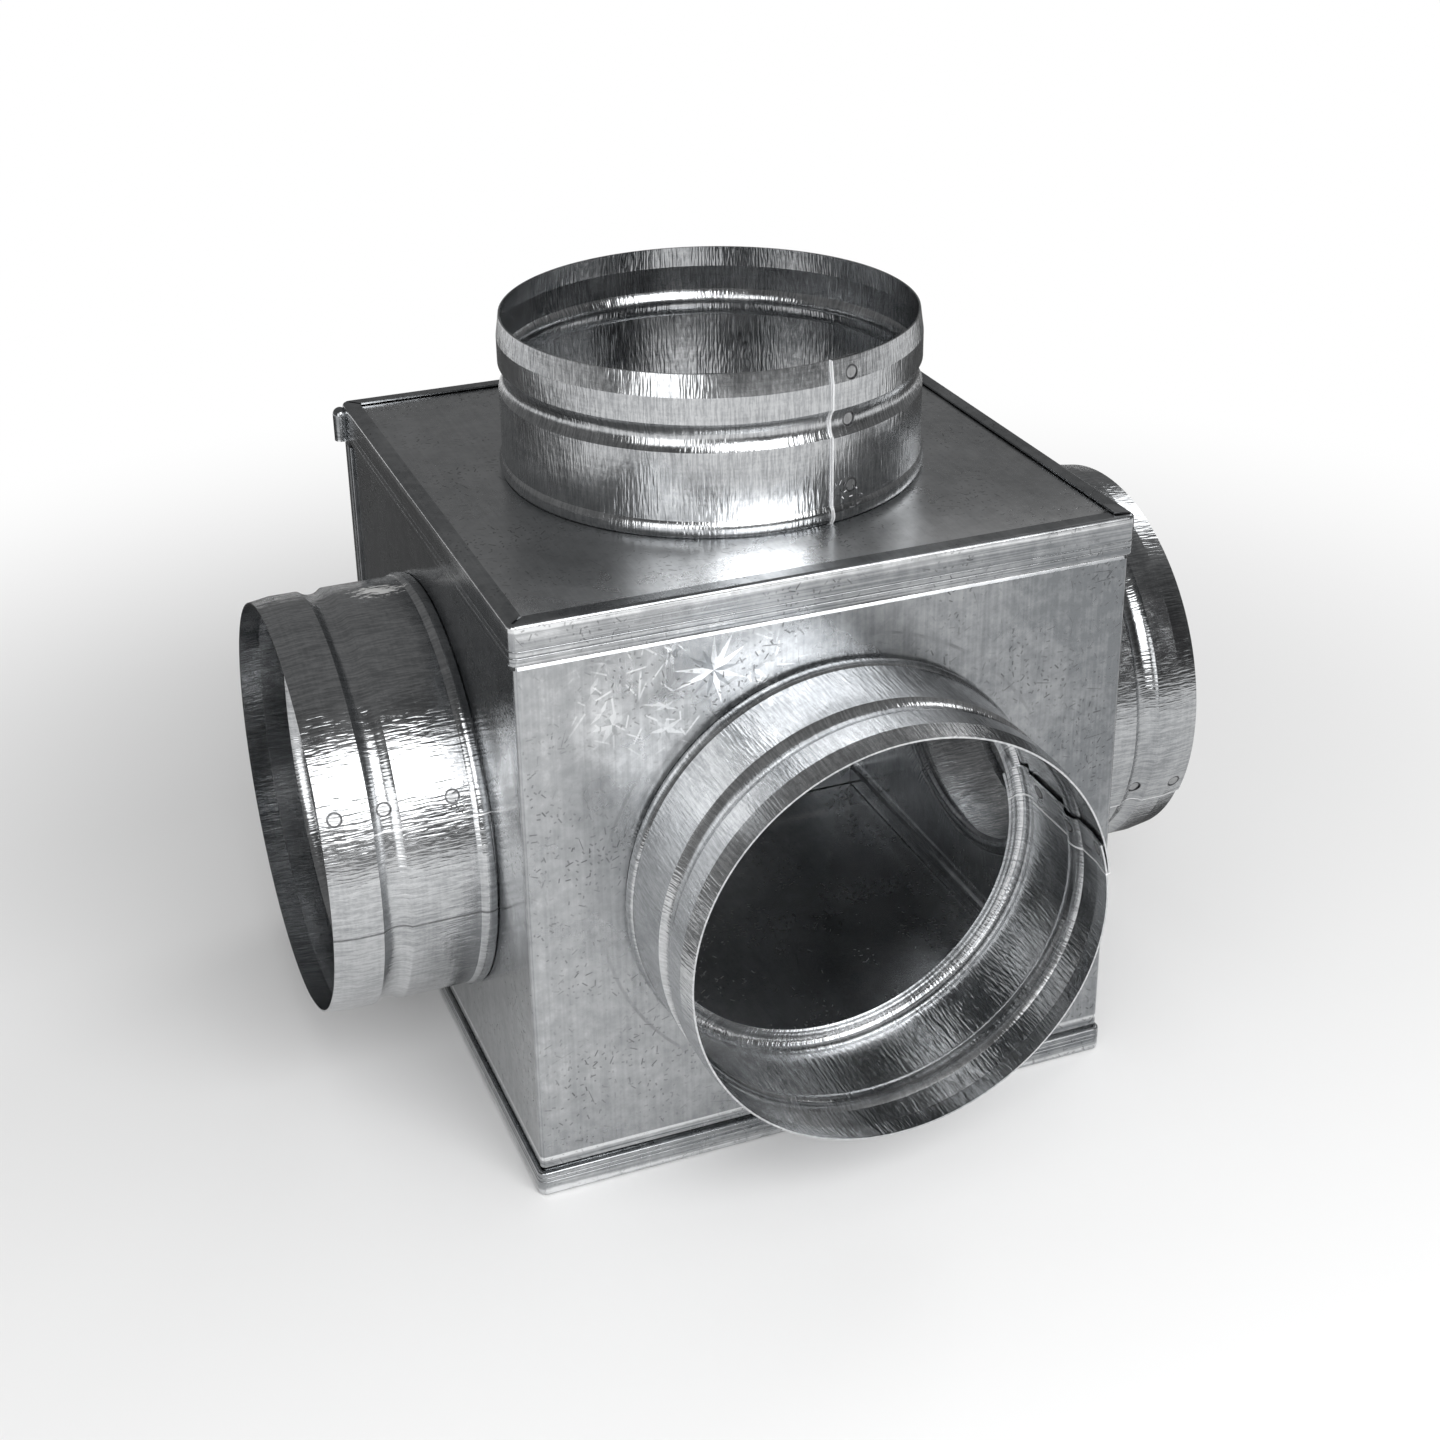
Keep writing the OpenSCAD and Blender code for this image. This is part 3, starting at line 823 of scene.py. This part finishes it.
    def scraped(self, graph: NodeGraph, at: TubePlace) -> Socket:
        """Draw a patch that was rubbed through to pale zinc, ragged at its edge.

        Args:
            graph: The material's nodes.
            at: The place on the tube.

        Returns:
            1 in the patch, 0 outside it.
        """
        angle, height = self.scrape
        arc = at.around(math.radians(angle))
        along = graph.less(at.axial, height)
        reach = graph.length(graph.over(arc, self.scrape_size[0]),
                             graph.over(along, self.scrape_size[1]))
        ragged = graph.noise(graph.join(arc, graph.times(along, 0.3)),
                             scale=620.0, detail=4.0, roughness=0.75)
        return graph.spread(graph.add(reach, graph.times(ragged, 4.0)), 2.45, 2.75, 1.0, 0.0)


@dataclass
class PhotoCamera:
    """The camera at the photograph's place and angle.

    Forward is where it looks and right its picture's right. The lens and the sensor's width are
    in millimetres, and shift_up is in sensor widths.
    """

    location: Point = (-0.2273, BACK - 0.5819, 0.4220)
    forward: Point = (0.33182, 0.84209, -0.42517)
    right: Point = (0.92810, -0.37213, -0.01270)
    lens: float = 56.06
    sensor: float = 36.0
    shift_up: float = -0.0764

    def build(self) -> bpy.types.Object:
        """Place the camera and make it the scene's own.

        Returns:
            The camera object.
        """
        data = bpy.data.cameras.new("photo_camera")
        data.sensor_width = self.sensor
        data.lens = self.lens
        data.shift_y = self.shift_up
        data.clip_start = 0.01
        forward = Vector(self.forward).normalized()
        right = Vector(self.right).normalized()
        up = right.cross(forward).normalized()
        right = forward.cross(up).normalized()
        camera = bpy.data.objects.new("photo_camera", data)
        basis = Matrix((right, up, -forward)).transposed().to_4x4()
        camera.matrix_world = Matrix.Translation(self.location) @ basis
        bpy.context.scene.collection.objects.link(camera)
        bpy.context.scene.camera = camera
        return camera


@dataclass
class Studio:
    """The pale floor, the dim studio round it and the lamps.

    A board has its left, right, front and back edges, and a lamp its centre, its width and
    height, and its watts. Between the two shadow reaches the floor goes from its shadow to
    white, and between the two dim reaches a mirrored piece goes from its front to its back glow.
    """

    floor_half: float = 12.0
    floor_tone: float = 0.84
    room_radius: float = 1.7
    room_front: float = 0.035
    room_back: float = 0.18
    board_tone: float = 0.10
    daylight: float = 0.50
    shadow_reach: Pair = (0.24, 0.60)
    dim_reach: Pair = (-1.2, 0.0)
    room_turns: int = 48
    room_rises: int = 12
    board_height: float = 0.003
    boards: Tuple[Tuple[str, Tuple[float, float, float, float]], ...] = (
        ("board_left", (-0.60, -0.0925, 0.05, 0.85)), ("board_back", (-0.0925, 0.85, 0.14, 0.85)),
        ("board_right", (0.15, 0.85, -0.02, 0.14)))
    lamps: Tuple[Tuple[str, Point, Pair, float], ...] = (
        ("soft_box_front", (0.10, -0.90, 0.70), (0.85, 0.66), 10.0),
        ("soft_box_right", (0.85, 0.40, 0.80), (0.35, 0.35), 1.5),
        ("soft_box_left", (-0.70, -0.72, 0.35), (0.55, 0.62), 3.0))

    def sheet(self, name: str, corners: Sequence[Point]) -> bpy.types.Object:
        """Make a flat four-cornered stage sheet.

        Args:
            name: The object's name.
            corners: Its corners in order.

        Returns:
            The object, marked as stage.
        """
        mesh = bpy.data.meshes.new(name)
        mesh.from_pydata([tuple(corner) for corner in corners], [], [(0, 1, 2, 3)])
        thing = bpy.data.objects.new(name, mesh)
        bpy.context.scene.collection.objects.link(thing)
        return thing

    def seen_as_background(self, graph: NodeGraph) -> Socket:
        """Return 1 for the rays that see the background: camera, glossy and transmission."""
        path = graph.tree.nodes.new("ShaderNodeLightPath")
        total = graph.add(path.outputs["Is Camera Ray"], path.outputs["Is Glossy Ray"])
        total = graph.add(total, path.outputs["Is Transmission Ray"])
        return graph.math("MINIMUM", total, 1.0)

    def floor(self) -> bpy.types.Object:
        """Lay the floor, white far away and matt with a shadow near the box."""
        half = self.floor_half
        thing = self.sheet("floor", [(-half, -half, 0.0), (half, -half, 0.0),
                                     (half, half, 0.0), (-half, half, 0.0)])
        graph = NodeGraph("floor_paper")
        tone = self.floor_tone
        graph.shader.inputs["Base Color"].default_value = (tone, tone, tone, 1.0)
        graph.shader.inputs["Roughness"].default_value = 1.0
        graph.shader.inputs["Specular IOR Level"].default_value = 0.0
        x, y, _ = graph.split(graph.coordinates())
        far = graph.spread(graph.length(x, y), *self.shadow_reach)
        glow = graph.tree.nodes.new("ShaderNodeEmission")
        glow.inputs["Strength"].default_value = 1.0
        mix = graph.tree.nodes.new("ShaderNodeMixShader")
        graph.feed(mix.inputs[0], graph.times(far, self.seen_as_background(graph)))
        graph.feed(mix.inputs[1], graph.shader.outputs["BSDF"])
        graph.feed(mix.inputs[2], glow.outputs[0])
        graph.feed(graph.surface, mix.outputs[0])
        thing.data.materials.append(graph.material)
        return thing

    def mirrored_only(self, thing: bpy.types.Object, name: str, low: float, high: float) -> None:
        """Let a stage piece glow for the metal's reflections alone.

        Args:
            thing: The piece.
            name: Its material's name.
            low: Its glow in front.
            high: Its glow from the middle of the studio backwards.
        """
        graph = NodeGraph(name)
        _, y, _ = graph.split(graph.coordinates())
        tone = graph.spread(y, *self.dim_reach, low, high)
        glow = graph.tree.nodes.new("ShaderNodeEmission")
        graph.feed(glow.inputs["Color"], graph.join(tone, tone, tone))
        graph.feed(graph.surface, glow.outputs[0])
        thing.data.materials.append(graph.material)
        for kind in ("camera", "diffuse", "shadow", "transmission", "volume_scatter"):
            setattr(thing, "visible_" + kind, False)

    def room(self) -> bpy.types.Object:
        """Raise the dim studio room.

        It is half a ball: a point lies at radius times (cos e cos a, cos e sin a, sin e), for the
        angle a round and the height angle e. It is darkest in front, round the soft box.

        Returns:
            The room.
        """
        turns, rises = self.room_turns, self.room_rises
        turn, rise = np.meshgrid(np.linspace(0.0, 2.0 * np.pi, turns + 1),
                                 np.linspace(0.0, np.pi / 2, rises + 1))
        points = np.stack([np.cos(rise) * np.cos(turn), np.cos(rise) * np.sin(turn), np.sin(rise)],
                          axis=-1).reshape(-1, 3) * self.room_radius
        row = turns + 1
        corner = (np.arange(rises)[:, None] * row + np.arange(turns)[None, :]).reshape(-1)
        faces = np.stack([corner, corner + row, corner + row + 1, corner + 1], axis=-1)
        mesh = bpy.data.meshes.new("studio_room")
        mesh.from_pydata(points.tolist(), [], faces.tolist())
        thing = bpy.data.objects.new("studio_room", mesh)
        bpy.context.scene.collection.objects.link(thing)
        self.mirrored_only(thing, "room_cloth", self.room_front, self.room_back)
        return thing

    def board(self, name: str, area: Tuple[float, float, float, float]) -> bpy.types.Object:
        """Lay a dark board on the floor, for the sides that mirror it.

        Args:
            name: The object's name.
            area: Its left, right, front and back edges.

        Returns:
            The board.
        """
        left, right, front, back = area
        high = self.board_height
        thing = self.sheet(name, [(left, front, high), (right, front, high),
                                  (right, back, high), (left, back, high)])
        self.mirrored_only(thing, name + "_cloth", self.board_tone, self.board_tone)
        return thing

    def soft_box(self, name: str, location: Point, size: Pair, power: float,
                 aim: Point = (0.0, 0.0, MIDDLE)) -> bpy.types.Object:
        """Hang a rectangular soft box.

        Args:
            name: The lamp's name.
            location: Its centre.
            size: Width and height.
            power: Watts.
            aim: The point it faces.

        Returns:
            The lamp.
        """
        data = bpy.data.lights.new(name, "AREA")
        data.shape = "RECTANGLE"
        data.size, data.size_y = size
        data.energy = power
        lamp = bpy.data.objects.new(name, data)
        lamp.location = location
        lamp.rotation_euler = (Vector(aim) - Vector(location)).to_track_quat("-Z", "Y").to_euler()
        bpy.context.scene.collection.objects.link(lamp)
        return lamp

    def sky(self) -> None:
        """Set the world: white where it is the background, softer as a light."""
        world = bpy.data.worlds.new("studio_air")
        world.use_nodes = True
        tree = world.node_tree
        tree.nodes.clear()
        path = tree.nodes.new("ShaderNodeLightPath")
        seen = tree.nodes.new("ShaderNodeMath")
        seen.operation = "ADD"
        both = tree.nodes.new("ShaderNodeMath")
        both.operation = "ADD"
        both.use_clamp = True
        tree.links.new(path.outputs["Is Camera Ray"], seen.inputs[0])
        tree.links.new(path.outputs["Is Glossy Ray"], seen.inputs[1])
        tree.links.new(seen.outputs[0], both.inputs[0])
        tree.links.new(path.outputs["Is Transmission Ray"], both.inputs[1])
        light = tree.nodes.new("ShaderNodeBackground")
        light.inputs["Strength"].default_value = self.daylight
        light.inputs["Color"].default_value = (1.0, 1.0, 1.0, 1.0)
        white = tree.nodes.new("ShaderNodeBackground")
        white.inputs["Color"].default_value = (1.0, 1.0, 1.0, 1.0)
        mix = tree.nodes.new("ShaderNodeMixShader")
        output = tree.nodes.new("ShaderNodeOutputWorld")
        tree.links.new(both.outputs[0], mix.inputs[0])
        tree.links.new(light.outputs[0], mix.inputs[1])
        tree.links.new(white.outputs[0], mix.inputs[2])
        tree.links.new(mix.outputs[0], output.inputs["Surface"])
        bpy.context.scene.world = world

    def build(self) -> None:
        """Set up the whole studio."""
        self.sky()
        self.floor()
        self.room()
        for name, area in self.boards:
            self.board(name, area)
        for name, location, size, power in self.lamps:
            self.soft_box(name, location, size, power)


@dataclass
class SplitterBox:
    """The sheet-steel casing, its two panels and its four spigots."""

    casing: CasingFinish = CasingFinish("casing_zinc", flowers=True)
    # The top panel's front strip carries a painted reflection of the top spigot
    top: CasingFinish = CasingFinish("top_zinc", light=(0.62, 0.63, 0.64),
                                     dark=(0.40, 0.41, 0.42), roughness=(0.22, 0.34),
                                     painted_reflection_gain=1.2)
    # The bottom panel is paler than the casing: painted light that brightens the inside of the box
    bottom: CasingFinish = CasingFinish("bottom_zinc", light=(0.66, 0.67, 0.68),
                                        dark=(0.40, 0.41, 0.42), roughness=(0.18, 0.26))
    spigots: Tuple[SpigotFinish, ...] = (
        SpigotFinish("top_spigot_zinc", side=Side.TOP, seam=Seam(-79.0, 1)),
        SpigotFinish("left_spigot_zinc", side=Side.LEFT, seam=Seam(-72.0, 1),
                     scrape=(5.0, 12.6 * MM), line=-100.0),
        SpigotFinish("front_spigot_zinc", side=Side.FRONT, seam=Seam(7.0, 1),
                     light=(0.72, 0.73, 0.74), dark=(0.44, 0.45, 0.46)),
        SpigotFinish("right_spigot_zinc", side=Side.RIGHT, seam=Seam(-64.0, -1),
                     light=(0.50, 0.51, 0.52), dark=(0.28, 0.29, 0.30)))

    def dress(self, node: str, finish: Union[CasingFinish, SpigotFinish]) -> None:
        """Give a CAD node its finish.

        Args:
            node: The node's name.
            finish: The finish.
        """
        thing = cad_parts[node]
        material = finish.make()
        for slot in thing.material_slots:
            slot.material = material
        LOG.info("%s: %s, %d faces", node, finish.name, len(thing.data.polygons))

    def build(self) -> None:
        """Dress the casing, the panels and the spigots in that order."""
        self.dress("casing_wrap", self.casing)
        self.dress("top_panel", self.top)
        self.dress("bottom_panel", self.bottom)
        for finish in self.spigots:
            self.dress(finish.side.value + "_collar", finish)


def main() -> None:
    """Build the scene: the camera, the studio and the dressed splitter box."""
    logging.basicConfig(level=logging.INFO, format="%(message)s")
    bpy.context.scene.view_settings.view_transform = "Standard"
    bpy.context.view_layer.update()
    PhotoCamera().build()
    Studio().build()
    SplitterBox().build()


if __name__ == "__main__":
    main()
